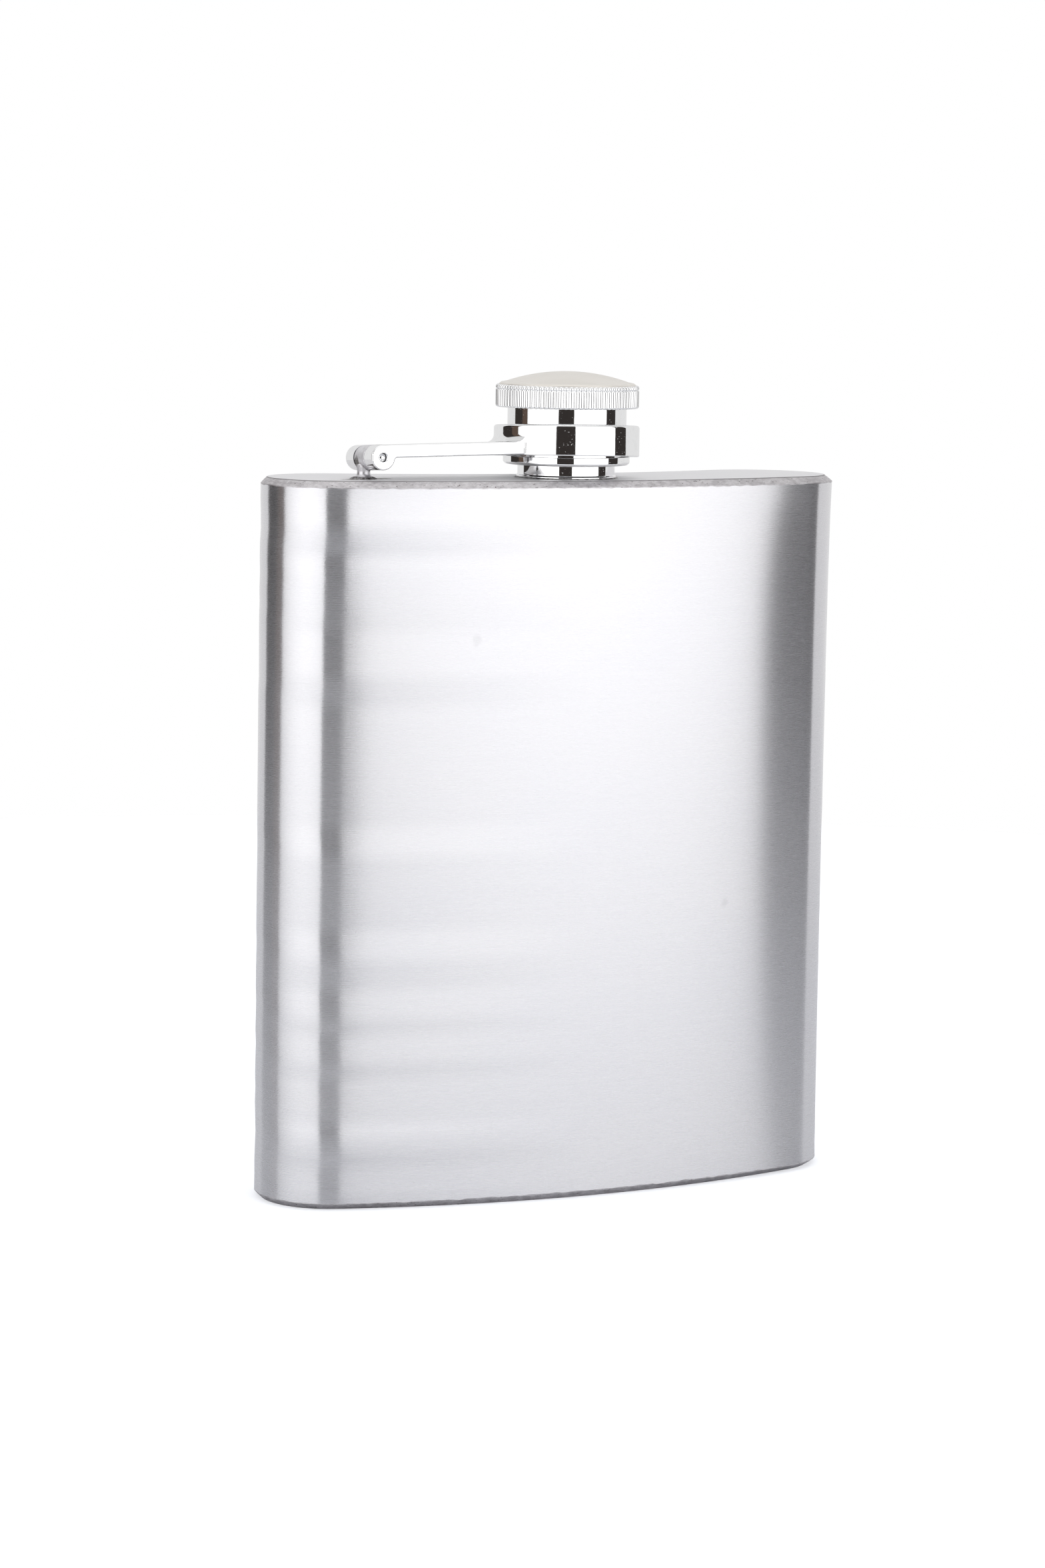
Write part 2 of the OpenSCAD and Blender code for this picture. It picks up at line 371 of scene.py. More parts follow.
# Faint smudges on the front: place and reach in millimetres, and depth of tone.
SMUDGES = (((-19.0, FRONT_Y + 1.4, 84.5), 0.9, 0.3), ((23.5, FRONT_Y + 2.1, 43.5), 0.8, 0.35))
# Distances from the hinge end between which the sheet's pebbling fades, and what is left of it.
PEBBLED = (10, 16)
PEBBLES_LEFT = 0.3
# Heat marks round the post: how far they lie from it along x and y, and their reach.
HEAT_MARKS = ((0.0, 0.0, 2.6), (-2.4, -1.0, 1.8), (2.9, 0.1, 2.2))
BEYOND_MARKS = 9.0
# Depths under the top face between which the seam weld's colour darkens towards the plate: painted shade in
# a thin band along its border with the plate.
GROOVE_SHADE = (0.16, 0.06)


def brushed_steel():
    """Body sheet: fine grain running round the body, faint clouds, two smudges, a pebbled hinge end."""
    material, tree, surface, point = new_material("brushed_steel")
    grain = noise(tree, point, (0.3, 0.3, 14), 5, 0.7)
    streaks = noise(tree, point, (0.06, 0.06, 2.2), 4, 0.6)
    mottle = noise(tree, point, (0.5, 0.5, 0.7), 3)
    clouds = noise(tree, point, (0.04, 0.04, 0.05), 2)
    tone = blend_colour(tree, remap(tree, streaks, 0.3, 0.7, 0, 1), (0.800, 0.792, 0.818, 1),
                        (0.814, 0.806, 0.829, 1))
    tone = blend_colour(tree, remap(tree, grain, 0.35, 0.65, 0.5, 0), tone, (0.755, 0.747, 0.775, 1))
    tone = blend_colour(tree, remap(tree, clouds, 0.35, 0.65, 0, 0.3), tone, (0.82, 0.806, 0.816, 1))
    for place_mm, reach, depth in SMUDGES:
        away = near(tree, point, place_mm, (reach, reach, reach * 1.5))
        away = maths(tree, "ADD", away, remap(tree, mottle, 0.3, 0.7, -0.5, 0.5, False))
        tone = blend_colour(tree, remap(tree, away, 0.2, 1.0, depth, 0.0), tone, (0.60, 0.59, 0.61, 1))
    rough = maths(tree, "ADD", remap(tree, grain, 0.3, 0.7, 0.268, 0.280),
                  remap(tree, clouds, 0.4, 0.7, -0.001, 0.001))
    side = shader(tree, "ShaderNodeSeparateXYZ", {0: point}).outputs[0]
    pebbled = remap(tree, side, (PEBBLED[0] - HALF_W) * MM, (PEBBLED[1] - HALF_W) * MM, 1.0, PEBBLES_LEFT)
    pebbles = maths(tree, "MULTIPLY", noise(tree, point, (5.5, 5.5, 8), 2), pebbled)
    normal = bump(tree, pebbles, 1.0, 0.005, bump(tree, grain, 0.3, 0.0018))
    tangent = shader(tree, "ShaderNodeTangent", direction_type="RADIAL", axis="Z").outputs[0]
    feed(tree, surface, Base_Color=tone, Metallic=1.0, Roughness=rough, Normal=normal, Tangent=tangent,
         Anisotropic=1.0, Anisotropic_Rotation=0.25)
    return material


def plate_steel():
    """Top and bottom plates: satin, lightly brushed lengthways, heat marks by the post and the neck."""
    material, tree, surface, point = new_material("plate_steel")
    grain = noise(tree, point, (0.15, 6, 6), 4, 0.6)
    smut = noise(tree, point, (0.9, 1.6, 1.0), 4, 0.65)
    burn = BEYOND_MARKS
    for along, across, reach in HEAT_MARKS:
        spot = (post_at.x + along, post_at.y + across, TOP_Z)
        burn = maths(tree, "MINIMUM", burn, near(tree, point, spot, (reach, 0.55 * reach, 3)))
    burn = maths(tree, "ADD", burn, remap(tree, smut, 0.3, 0.7, -0.45, 0.45, False))
    burnt = remap(tree, burn, 0.6, 1.0, 0.9, 0.0)
    neck = near(tree, point, (cap_at.x, cap_at.y, TOP_Z))
    ring = maths(tree, "ADD", neck, remap(tree, smut, 0.3, 0.7, -0.35, 0.35, False))
    ringed = remap(tree, ring, NECK_R + 0.3, NECK_R + 0.6, 0.8, 0.0)
    marks = maths(tree, "MAXIMUM", burnt, ringed)
    tone = blend_colour(tree, remap(tree, grain, 0.3, 0.7, 0, 1), (0.82, 0.815, 0.835, 1),
                        (0.88, 0.875, 0.89, 1))
    tone = blend_colour(tree, marks, tone, (0.16, 0.14, 0.13, 1))
    rough = maths(tree, "ADD", remap(tree, grain, 0.3, 0.7, 0.44, 0.5), maths(tree, "MULTIPLY", marks, 0.1))
    feed(tree, surface, Base_Color=tone, Metallic=0.7, Roughness=rough,
         Normal=bump(tree, grain, 0.3, 0.006))
    return material


def ground_weld():
    """Seam welds ground by hand: mottled dull metal, slanting scratches, dark pores, and painted shade
    along the top edge where it meets the plate.
    """
    material, tree, surface, point = new_material("ground_weld")
    scratches = noise(tree, point, (0.5, 0.5, 7), 5, 0.7, (0, 34, 12))
    crossing = noise(tree, point, (0.8, 0.8, 5), 4, 0.65, (0, -18, -8))
    patches = noise(tree, point, (0.8, 0.8, 1.8), 4, 0.6)
    pores = noise(tree, point, (2.4, 2.4, 4.2), 3, 0.6)
    tone = blend_colour(tree, remap(tree, patches, 0.35, 0.65, 0, 1), (0.50, 0.48, 0.495, 1),
                        (0.68, 0.66, 0.675, 1))
    tone = blend_colour(tree, remap(tree, scratches, 0.56, 0.7, 0, 0.5), tone, (0.85, 0.85, 0.86, 1))
    tone = blend_colour(tree, remap(tree, crossing, 0.55, 0.68, 0, 0.5), tone, (0.42, 0.40, 0.42, 1))
    tone = blend_colour(tree, remap(tree, pores, 0.62, 0.70, 0, 0.9), tone, (0.12, 0.10, 0.10, 1))
    # Painted shade: the weld's colour is darkened in a thin band just under the top face, along its border
    # with the plate.
    height = shader(tree, "ShaderNodeSeparateXYZ", {0: point}).outputs[2]
    groove_shade = remap(tree, height, (TOP_Z - GROOVE_SHADE[0]) * MM, (TOP_Z - GROOVE_SHADE[1]) * MM, 0.0, 0.75)
    tone = blend_colour(tree, groove_shade, tone, (0.16, 0.15, 0.155, 1))
    rough = remap(tree, patches, 0.3, 0.7, 0.36, 0.5)
    normal = bump(tree, scratches, 0.5, 0.03)
    normal = bump(tree, patches, 0.5, 0.05, normal)
    feed(tree, surface, Base_Color=tone, Metallic=1.0, Roughness=rough, Normal=normal)
    return material


def chrome(name, wave=0.012, pits=0.02, tone=(0.95, 0.95, 0.953, 1)):
    """Polished and plated steel: near mirror, a slight wave, and pits that show in dark reflections."""
    material, tree, surface, point = new_material(name)
    broad = noise(tree, point, (0.35, 0.35, 0.35), 2)
    fine = noise(tree, point, (5, 5, 5), 2)
    pitted = remap(tree, noise(tree, point, (4.2, 4.2, 4.2), 3, 0.6), 0.68, 0.76, 0.0, 1.0)
    grime = noise(tree, point, (0.8, 0.8, 0.8), 4, 0.6)
    duller = tuple(c * 0.95 for c in tone[:3]) + (1,)
    colour = blend_colour(tree, remap(tree, grime, 0.45, 0.75, 0, 1), tone, duller)
    colour = blend_colour(tree, maths(tree, "MULTIPLY", pitted, 0.12), colour, (0.5, 0.47, 0.45, 1))
    rough = maths(tree, "ADD", remap(tree, grime, 0.35, 0.7, 0.03, 0.055),
                  maths(tree, "MULTIPLY", pitted, 0.05))
    normal = bump(tree, broad, 0.6, wave)
    normal = bump(tree, fine, 0.12, 0.0015, normal)
    normal = bump(tree, maths(tree, "MULTIPLY", pitted, -1.0), 0.6, pits, normal)
    feed(tree, surface, Base_Color=colour, Metallic=1.0, Roughness=rough, Normal=normal)
    return material


def cast_steel():
    """Hinge knuckle and post: dull cast metal, with a scorched patch low on the outer back side."""
    material, tree, surface, point = new_material("cast_steel")
    lumps = noise(tree, point, (1.3, 1.3, 1.3), 4, 0.6)
    sand = noise(tree, point, (9, 9, 9), 3)
    tone = blend_colour(tree, remap(tree, lumps, 0.35, 0.65, 0, 1), (0.66, 0.65, 0.67, 1),
                        (0.80, 0.79, 0.815, 1))
    low = (hinge_at.x - 1.5, hinge_at.y + 0.9, hinge_at.z - 0.75)
    scorch = maths(tree, "ADD", near(tree, point, low, (0.9, 0.9, 0.9)),
                   remap(tree, lumps, 0.3, 0.7, -0.5, 0.5, False))
    scorched = remap(tree, scorch, 0.6, 1.0, 0.85, 0.0)
    tone = blend_colour(tree, scorched, tone, (0.12, 0.11, 0.10, 1))
    normal = bump(tree, lumps, 0.3, 0.03)
    normal = bump(tree, sand, 0.25, 0.012, normal)
    rough = maths(tree, "ADD", remap(tree, lumps, 0.3, 0.7, 0.3, 0.4),
                  maths(tree, "MULTIPLY", scorched, 0.2))
    feed(tree, surface, Base_Color=tone, Metallic=0.85, Roughness=rough, Normal=normal)
    return material


def burnt_weld():
    """Unground weld beads: scorched brown-black with grey metal showing through."""
    material, tree, surface, point = new_material("burnt_weld")
    beads = noise(tree, point, (1.5, 1.5, 2.2), 4, 0.6)
    crust = noise(tree, point, (5, 5, 5), 4, 0.6)
    tone = blend_colour(tree, remap(tree, beads, 0.4, 0.62, 0, 1), (0.07, 0.06, 0.058, 1),
                        (0.50, 0.49, 0.49, 1))
    rough = remap(tree, crust, 0.3, 0.7, 0.25, 0.5)
    feed(tree, surface, Base_Color=tone, Metallic=0.9, Roughness=rough, Normal=bump(tree, crust, 0.7, 0.05))
    return material


def pearl_disc():
    """Domed disc of the cap: pale cream satin."""
    material, tree, surface, point = new_material("pearl_disc")
    clouds = noise(tree, point, (0.16, 0.16, 0.16), 3)
    sand = noise(tree, point, (7, 7, 7), 3)
    tone = blend_colour(tree, remap(tree, clouds, 0.3, 0.7, 0, 1), (0.80, 0.765, 0.71, 1),
                        (0.84, 0.805, 0.755, 1))
    feed(tree, surface, Base_Color=tone, Metallic=0.3, Roughness=remap(tree, sand, 0.3, 0.7, 0.3, 0.38),
         Normal=bump(tree, sand, 0.12, 0.006))
    return material


def seal_plastic():
    """Sealing disc inside the cap: off-white plastic, slightly marbled."""
    material, tree, surface, point = new_material("seal_plastic")
    marble = noise(tree, point, (0.4, 0.4, 0.4), 4)
    tone = blend_colour(tree, remap(tree, marble, 0.3, 0.7, 0, 1), (0.80, 0.79, 0.75, 1),
                        (0.87, 0.86, 0.83, 1))
    feed(tree, surface, Base_Color=tone, Roughness=remap(tree, marble, 0.3, 0.7, 0.42, 0.55),
         Normal=bump(tree, marble, 0.2, 0.02))
    return material


steel = brushed_steel()
plate = plate_steel()
weld = ground_weld()
polished = chrome("polished_steel")
pin_metal = chrome("pin_steel", 0.02, 0.03, (0.82, 0.82, 0.83, 1))
cast = cast_steel()
burnt = burnt_weld()
pearl = pearl_disc()
plastic = seal_plastic()

# ---------------------------------------------------------------- body

LOOP_POINTS = 512
LOOP_SAMPLES = 8
EDGE_SPREAD = 1.5
MIDDLE_SPREAD = 1.0
EDGE_BOW = -2.6
BOW = 2.6
TOP_HOLD = 0.09
FOOT_HOLD = 0.62
FOOT_REACH = 0.93
WALL_ROWS = 49
WELD_SKIN = 0.001
WELD_ROOT = 0.15
WELD_LAP = 0.5


def outline(inset, spread=0.0, bow=0.0):
    """Body section as a loop of points: bulging front, round ends, hollow back.

    The heading is followed along the loop; spread is how far the bends run into each other, as
    sheet does between two tight arcs, and bow is how many degrees more the front turns to each
    side. The loop starts at the middle of the front and goes round by the +X end. Its extent is
    the CAD outline's, moved in by inset.
    """
    half_x = HALF_W - END_R
    front_a = math.asin(half_x / (FRONT_R - END_R)) + math.radians(bow)
    back_a = math.asin(half_x / (BACK_R + END_R))
    front_r = half_x / math.sin(front_a) + END_R
    end_turn = math.pi - front_a + back_a
    turns = np.array([front_a, end_turn, -2 * back_a, end_turn, front_a])
    radii = np.array([front_r, END_R, -BACK_R, END_R, front_r])
    ends = np.cumsum(turns * radii)
    count = LOOP_POINTS * LOOP_SAMPLES
    step = ends[-1] / count
    middle = (np.arange(count) + 0.5) * step
    bend = 1 / radii[np.searchsorted(ends, middle).clip(0, 4)]
    offset = (np.arange(count) + count // 2) % count - count // 2
    kernel = np.clip(1 - np.abs(offset * step) / max(spread, step), 0, None)
    bend = np.fft.ifft(np.fft.fft(bend) * np.fft.fft(kernel / kernel.sum())).real
    heading = np.concatenate([[0], np.cumsum(bend * step)])[:-1]
    between = heading + bend * step / 2
    x, y = np.cumsum(np.cos(between) * step), np.cumsum(np.sin(between) * step)
    x, y = np.concatenate([[0], x]), np.concatenate([[0], y])
    drift = np.arange(count + 1) / count
    x, y = (x - drift * x[-1])[:-1], (y - drift * y[-1])[:-1]
    x = x - (x.max() + x.min()) / 2
    x, y = x * HALF_W / x.max(), FRONT_Y + (y - y.min()) * (BACK_Y - FRONT_Y) / (y.max() - y.min())
    points = np.stack([x - inset * np.sin(heading), y + inset * np.cos(heading)], axis=1)
    return points[::LOOP_SAMPLES]


def level(points, z):
    """Loop of 2-D points lifted to height z, which may differ from point to point."""
    return np.concatenate([points, np.zeros((len(points), 1)) + np.reshape(z, (-1, 1))], axis=1)


def wall_loop(inset, share):
    """Section of the sheet at a share of its height. The plates hold it flatter at both ends.

    slack is how free of them it is: 0 at the top plate, whose hold fades over TOP_HOLD of the
    height, nearly 1 half-way down, and less again as the bottom plate takes FOOT_HOLD of it away.
    """
    down = 1 - share
    slack = 1 - math.exp(-down / TOP_HOLD) - FOOT_HOLD * (down / FOOT_REACH) ** 4
    spread = EDGE_SPREAD + (MIDDLE_SPREAD - EDGE_SPREAD) * max(slack, 0)
    return outline(inset, spread, EDGE_BOW + BOW * slack)


def far_end_points(half):
    """Numbers of the loop's points at the +X end, within half of the middle of the body's depth.

    Known fault: the CAD's weld is 2.5 mm further back, at the middle of the round end's thickness.
    """
    outer = outline(0)
    band = np.abs(outer[:, 1] - (FRONT_Y + BACK_Y) / 2) < half
    return np.flatnonzero(band & (outer[:, 0] > 0))


def sheet_rings(keep, skin_inset, inside_inset):
    """Rows up the sheet's height, each along the outside at the kept points and back along the inside."""
    rows = []
    for share in np.linspace(0, 1, WALL_ROWS):
        z = SEAM_H + share * (TOP_Z - 2 * SEAM_H)
        skin, inside = wall_loop(skin_inset, share), wall_loop(inside_inset, share)
        rows.append(level(np.concatenate([skin[keep], inside[keep][::-1]]), z))
    return np.array(rows)


def body_shell():
    """Folded sheet, open along the upright weld, with its real thickness."""
    gap = far_end_points(SIDE_WELD_W / 2)
    keep = np.concatenate([np.arange(gap[-1] + 1, LOOP_POINTS), np.arange(gap[0])])
    rings = sheet_rings(keep, SKIN, SHEET_T)
    mesh = grid_mesh("body_shell", rings)
    count = len(keep)
    work = bmesh.new()
    work.from_mesh(mesh)
    work.verts.ensure_lookup_table()
    for base in (0, (WALL_ROWS - 1) * 2 * count):
        for i in range(count - 1):
            corners = [base + i, base + i + 1, base + 2 * count - 2 - i, base + 2 * count - 1 - i]
            work.faces.new([work.verts[c] for c in corners])
    work.to_mesh(mesh)
    work.free()
    return tidy(mesh, 40)


def side_weld():
    """Upright weld, ground flush with the sheet's outside and lapping WELD_LAP over both its edges."""
    band = far_end_points(SIDE_WELD_W / 2 + WELD_LAP)
    rings = sheet_rings(band, WELD_SKIN, SHEET_T + WELD_ROOT)
    return tidy(grid_mesh("side_seam_weld", rings, caps=True), 40)


def hand_wave(count, seed, parts=24):
    """A smooth closed wave of unit height, as a hand leaves it."""
    dice = np.random.default_rng(seed)
    s = np.linspace(0, TAU, count, endpoint=False)
    wave = np.zeros(count)
    for _ in range(parts):
        turns = dice.integers(3, 110)
        wave += dice.uniform(0.3, 1) * np.sin(turns * s + dice.uniform(0, TAU))
    return wave / np.abs(wave).max()


def seam_weld(name, upwards, seed):
    """Ground bevel between the sheet and a plate, its border with the sheet uneven. rise is signed."""
    edge = TOP_Z - SEAM_H if upwards else SEAM_H
    face = TOP_Z if upwards else 0.0
    rise = face - edge
    border = hand_wave(LOOP_POINTS, seed)
    facet = hand_wave(LOOP_POINTS, seed + 1, 40)
    end = 1 if upwards else 0
    rows = [level(wall_loop(0.0005, end), edge - rise * (0.12 + 0.1 * border)),
            level(wall_loop(0.0, end), edge + rise * 0.02)]
    bottom, top = wall_loop(0.0, end), outline(SEAM_W)
    inward = top - bottom
    for k in range(1, 8):
        share = k / 8
        hump = math.sin(math.pi * share)
        run = share - 0.05 * hump + 0.02 * facet * hump
        rows.append(level(bottom + inward * np.reshape(run, (-1, 1)), edge + rise * share))
    rows += [level(bottom + inward * 0.98, face - rise * 0.004), level(top, face - rise * 0.05),
             level(top, edge), level(bottom + inward * 0.05, edge),
             level(bottom + inward * 0.05, edge - rise * 0.1)]
    return tidy(grid_mesh(name, np.array(rows), stack_closed=True), 50)


place("body_shell", "flask", steel, body_shell())
place("side_seam_weld", "flask", steel, side_weld())
place("top_seam_weld", "flask", weld, seam_weld("top_seam_weld", True, 3))
place("bottom_seam_weld", "flask", weld, seam_weld("bottom_seam_weld", False, 7))
for name in ("top_plate", "bottom_plate"):
    frame["nodes"][name].data.materials.clear()
    frame["nodes"][name].data.materials.append(plate)

# ---------------------------------------------------------------- neck and cap, round the cap's axis

neck_frame = Matrix.Translation((cap_at.x, cap_at.y, TOP_Z))
NECK_FOOT_R = NECK_R + 0.22
NECK_ROOT_R = NECK_R - 0.46
THREAD_FROM = 3.2
NECK_THREAD_H = 0.4
CAP_ROOT_R = CREST_R + 0.4
CAP_THREAD_H = 0.38
RECESS_R = 9.75
RECESS_Z = 12.6
DISC_R = 9.72
DISC_T = 0.7
SKIRT_FOOT = CAP_Z + 0.4
KEEPER_TOP = CAP_Z + 1.3


def helix(z, theta, low, high):
    """Height of a thread ridge, 0 to 1, between two heights where it runs out."""
    phase = (z / PITCH - theta / TAU) % 1.0
    ridge = 1 - ease(0.1, 0.34, np.abs(phase - 0.5))
    return ridge * ease(low, low + 0.5, z) * (1 - ease(high - 0.5, high, z))


def neck_tube():
    """Spout with a true helical thread above a plain polished foot."""
    corners = [(BORE_R, -1.6), (NECK_R - 0.26, -1.6), (NECK_R - 0.26, 0), (NECK_FOOT_R, 0),
        (NECK_FOOT_R, 0.3, 0.1), (NECK_R, 0.5, 0.15), (NECK_R, 2.8, 0.2),
        (NECK_ROOT_R, THREAD_FROM - 0.1, 0.1), (NECK_ROOT_R, NECK_H, 0.22), (BORE_R, NECK_H, 0.15)]
    profile = spaced(rounded(corners), 0.12)

    def lift(theta, r, z):
        outside = (np.abs(r - NECK_ROOT_R) < 0.02) & (z > THREAD_FROM)
        return np.where(outside, NECK_THREAD_H * helix(z, theta, THREAD_FROM, NECK_H - 0.5), 0)

    return lathe("neck_tube", profile, 200, lift)


def weld_ring(name, inner, outer, height, seed):
    """Lumpy weld bead round a foot."""
    corners = [(inner, 0), (outer, 0), (outer, 0.02, 0.01),
        (inner + (outer - inner) * 0.45, height * 0.62, 0.2), (inner, height)]
    count = 160
    lumps = hand_wave(count, seed, 30)[None, :]

    def lift(theta, r, z):
        return 0.05 * lumps * ease(inner, inner + 0.2, r) * (1 - ease(outer - 0.12, outer, r)) * (z > 0.03)

    return lathe(name, spaced(rounded(corners), 0.08), count, lift, sharp=60)


def cap_shell():
    """Knurled head and skirt: half-round ribs, each under a bead, outside; helical thread inside."""
    corners = [(CAP_ROOT_R, SKIRT_FOOT), (SKIRT_R, SKIRT_FOOT), (SKIRT_R, HEAD_Z, 0.12),
        (CORE_R, HEAD_Z, 0.12), (CORE_R, BAND_Z, 0.2), (RECESS_R, BAND_Z, 0.05), (RECESS_R, RECESS_Z),
        (0, RECESS_Z), (0, SEAL_TOP), (CAP_ROOT_R, SEAL_TOP)]
    profile = spaced(rounded(corners, 7), lambda at: 0.06 if at[0] > CORE_R - 0.1 else 0.14)

    def hump(z, low, high, soft):
        """1 between two heights, falling to 0 at each in a quarter round of height soft."""
        inside = np.minimum(z - low, high - z)
        return np.sqrt(np.clip(1 - ((soft - inside) / soft).clip(0, 1) ** 2, 0, 1)) * (inside > 0)

    def lift(theta, r, z):
        across = (theta * RIBS / TAU + 0.5) % 1.0 - 0.5
        width = TAU * CORE_R / RIBS * across
        rib = np.sqrt(np.clip(RIB_R ** 2 - width ** 2, 0, None))
        banded = r > CORE_R - 0.2
        neck_z = BAND_Z - BEAD_H
        ribs = hump(z, HEAD_Z, neck_z + 0.04, 0.22)
        beads = hump(z, neck_z - 0.04, BAND_Z - 0.02, BEAD_H / 2)
        inner = (np.abs(r - CAP_ROOT_R) < 0.02) & (z > CAP_Z + 0.5) & (z < SEAL_TOP - 0.3)
        thread = CAP_THREAD_H * helix(z + PITCH / 2, theta, CAP_Z + 1.4, SEAL_TOP - 1.2)
        knurl = np.where(banded & (z > HEAD_Z), rib * np.maximum(ribs, beads), 0)
        return knurl + np.where(inner, thread, 0)

    return lathe("cap_shell", profile, RIBS * 12, lift)


def cap_dome():
    """Domed disc with a soft shoulder, hollow underneath."""
    rim = CORE_R - 0.16
    height = DOME_Z - BAND_Z - 0.12
    ball = (rim ** 2 + height ** 2) / (2 * height)
    top = [(r, DOME_Z - ball + math.sqrt(ball ** 2 - r * r)) for r in np.linspace(0, rim - 1.1, 40)]
    under = [(r, DOME_Z - ball + math.sqrt((ball - DISC_T) ** 2 - r * r)) for r in np.linspace(9.0, 0, 24)]
    shoulder = rounded([(rim - 1.0, DOME_Z - ball + math.sqrt(ball ** 2 - (rim - 1.0) ** 2)),
        (rim - 0.02, BAND_Z + 0.34, 0.5), (rim - 0.02, BAND_Z + 0.03, 0.12), (DISC_R, BAND_Z + 0.02)], 8)
    rest = [(DISC_R, BAND_Z - 0.6), (9.1, BAND_Z - 0.6)]
    profile = np.array([*top, *shoulder[1:], *rest, *under])
    return lathe("cap_dome", spaced(profile, 0.3), 256)


def retaining_ring():
    """Lip that keeps the collar on the skirt: an upright band above a soft chamfer."""
    corners = [(CREST_R, CAP_Z, 0.08), (KEEPER_R - 0.3, CAP_Z, 0.1), (KEEPER_R, CAP_Z + 0.3, 0.3),
        (KEEPER_R, KEEPER_TOP, 0.08), (SKIRT_R - 0.01, KEEPER_TOP),
        (SKIRT_R - 0.01, SKIRT_FOOT), (CREST_R, SKIRT_FOOT)]
    return lathe("cap_retaining_ring", spaced(rounded(corners), 0.1), 256)


place("neck_tube", "flask", polished, neck_tube(), neck_frame)
neck_bead = weld_ring("neck_weld", NECK_FOOT_R, NECK_R + 0.54, 0.16, 11)
place("neck_weld", "flask", burnt, neck_bead, neck_frame)
place("cap_shell", "cap", polished, cap_shell(), neck_frame)
place("cap_dome", "cap", pearl, cap_dome(), neck_frame)
place("cap_retaining_ring", "cap", polished, retaining_ring(), neck_frame)
frame["nodes"]["cap_seal"].data.materials.clear()
frame["nodes"]["cap_seal"].data.materials.append(plastic)

# ---------------------------------------------------------------- hinge and arm

lean = math.atan2(-hinge_axis.z, -hinge_axis.y)
hinge_frame = Matrix.Translation(hinge_at) @ Matrix.Rotation(lean, 4, "X")
collar_frame = (Matrix.Translation((cap_at.x, cap_at.y, TOP_Z + COLLAR_Z)) @ Matrix.Rotation(lean, 4, "X")
    @ Matrix.Rotation(math.radians(COLLAR_TILT), 4, "Y"))
across_y = Matrix.Rotation(math.pi / 2, 4, "X")
post_foot = Vector((post_at.x, post_at.y, TOP_Z))
FORK_END = 3.0
TAPER_END = 22.0
COUNTERBORE_R = KEEPER_R + 0.35
COUNTERBORE_H = 0.95
EDGE_BEVEL = 0.24
THROUGH = 9.0
PIN_HOLE_R = PIN_R + PIN_GAP
PIN_MOUTH_R = PIN_HOLE_R + 0.12


def turned(mesh, matrix):
    """The mesh itself, moved by the matrix."""
    mesh.transform(matrix)
    return mesh


def drum(name, radius, low, high, edge=0.0, segments=128):
    """Solid cylinder on the Z axis with rounded edges."""
    corners = [(0, low), (radius, low, edge), (radius, high, edge), (0, high)]
    return lathe(name, rounded(corners, 5), segments)


def strap():
    """Strap and eye from the side, drawn out across the arm and tapered, with softened edges."""
    drop = EYE_R - STRAP_T
    slope = math.tan(math.radians(STRAP_RISE))
    reach = cap_at.x - hinge_at.x
    fillet = 0.5
    centre_z = drop - fillet
    centre_x = math.sqrt((EYE_R + fillet) ** 2 - centre_z ** 2)
    meet = math.degrees(math.atan2(centre_z, centre_x))
    stations = [FORK_END, TAPER_END, reach]
    eye = arc_points(0, 0, EYE_R, 90, 360 + meet, 48)
    hollow = arc_points(centre_x, centre_z, fillet, 180 + meet, 90, 8)
    upper = [(x, EYE_R + slope * x) for x in stations]
    lower = [(x, drop + slope * (x - centre_x)) for x in stations]
    left = [upper[0], *eye, *hollow[1:], lower[0]]
    work = bmesh.new()

    def column(x, z):
        share = min(max((x - FORK_END) / (TAPER_END - FORK_END), 0), 1)
        half = FORK_W / 2 + (STRAP_W - FORK_W) / 2 * share
        return work.verts.new((x, -half, z)), work.verts.new((x, half, z))

    head = [column(*p) for p in left]
    tops = [head[0], column(*upper[1]), column(*upper[2])]
    bottoms = [head[-1], column(*lower[1]), column(*lower[2])]
    for side in (0, 1):
        work.faces.new([c[side] for c in head])
        for k in (0, 1):
            work.faces.new([tops[k][side], bottoms[k][side], bottoms[k + 1][side], tops[k + 1][side]])
    path = tops[::-1] + head[1:-1] + bottoms
    for a, b in zip(path, path[1:]):
        work.faces.new([a[0], b[0], b[1], a[1]])
    work.faces.new([tops[2][0], tops[2][1], bottoms[2][1], bottoms[2][0]])
    bmesh.ops.recalc_face_normals(work, faces=work.faces)
    rim = [e for e in work.edges if len(e.link_faces) == 2 and e.calc_face_angle(0) > 1.0
           and max(v.co.x for v in e.verts) < reach - 1]
    rim += [e for e in work.edges if e not in rim and e.calc_face_angle(0) > 1.0
            and abs(e.verts[0].co.x - e.verts[1].co.x) > 1]
    bmesh.ops.bevel(work, geom=rim, offset=EDGE_BEVEL, segments=5, profile=0.5, affect="EDGES",
                    clamp_overlap=True)
    return finished("collar_arm", work)


def plan_fillet(side, half, low, high):
    """Upright hollow fillet where the strap's side meets the collar's wall. side is -1 or 1."""
    reach = math.sqrt((COLLAR_R + SIDE_FILLET) ** 2 - (half + SIDE_FILLET) ** 2)
    tangent = math.degrees(math.atan2(half + SIDE_FILLET, reach))
    arc = arc_points(-reach, half + SIDE_FILLET, SIDE_FILLET, -90, -tangent, 10)
    points = np.concatenate([arc, [[0.7 - reach, half - 0.9], [-reach, half - 0.9]]]) * (1, side)
    rings = np.array([level(points, z) for z in (low, high)])
    return tidy(grid_mesh("plan_fillet", rings, caps=True), 20)


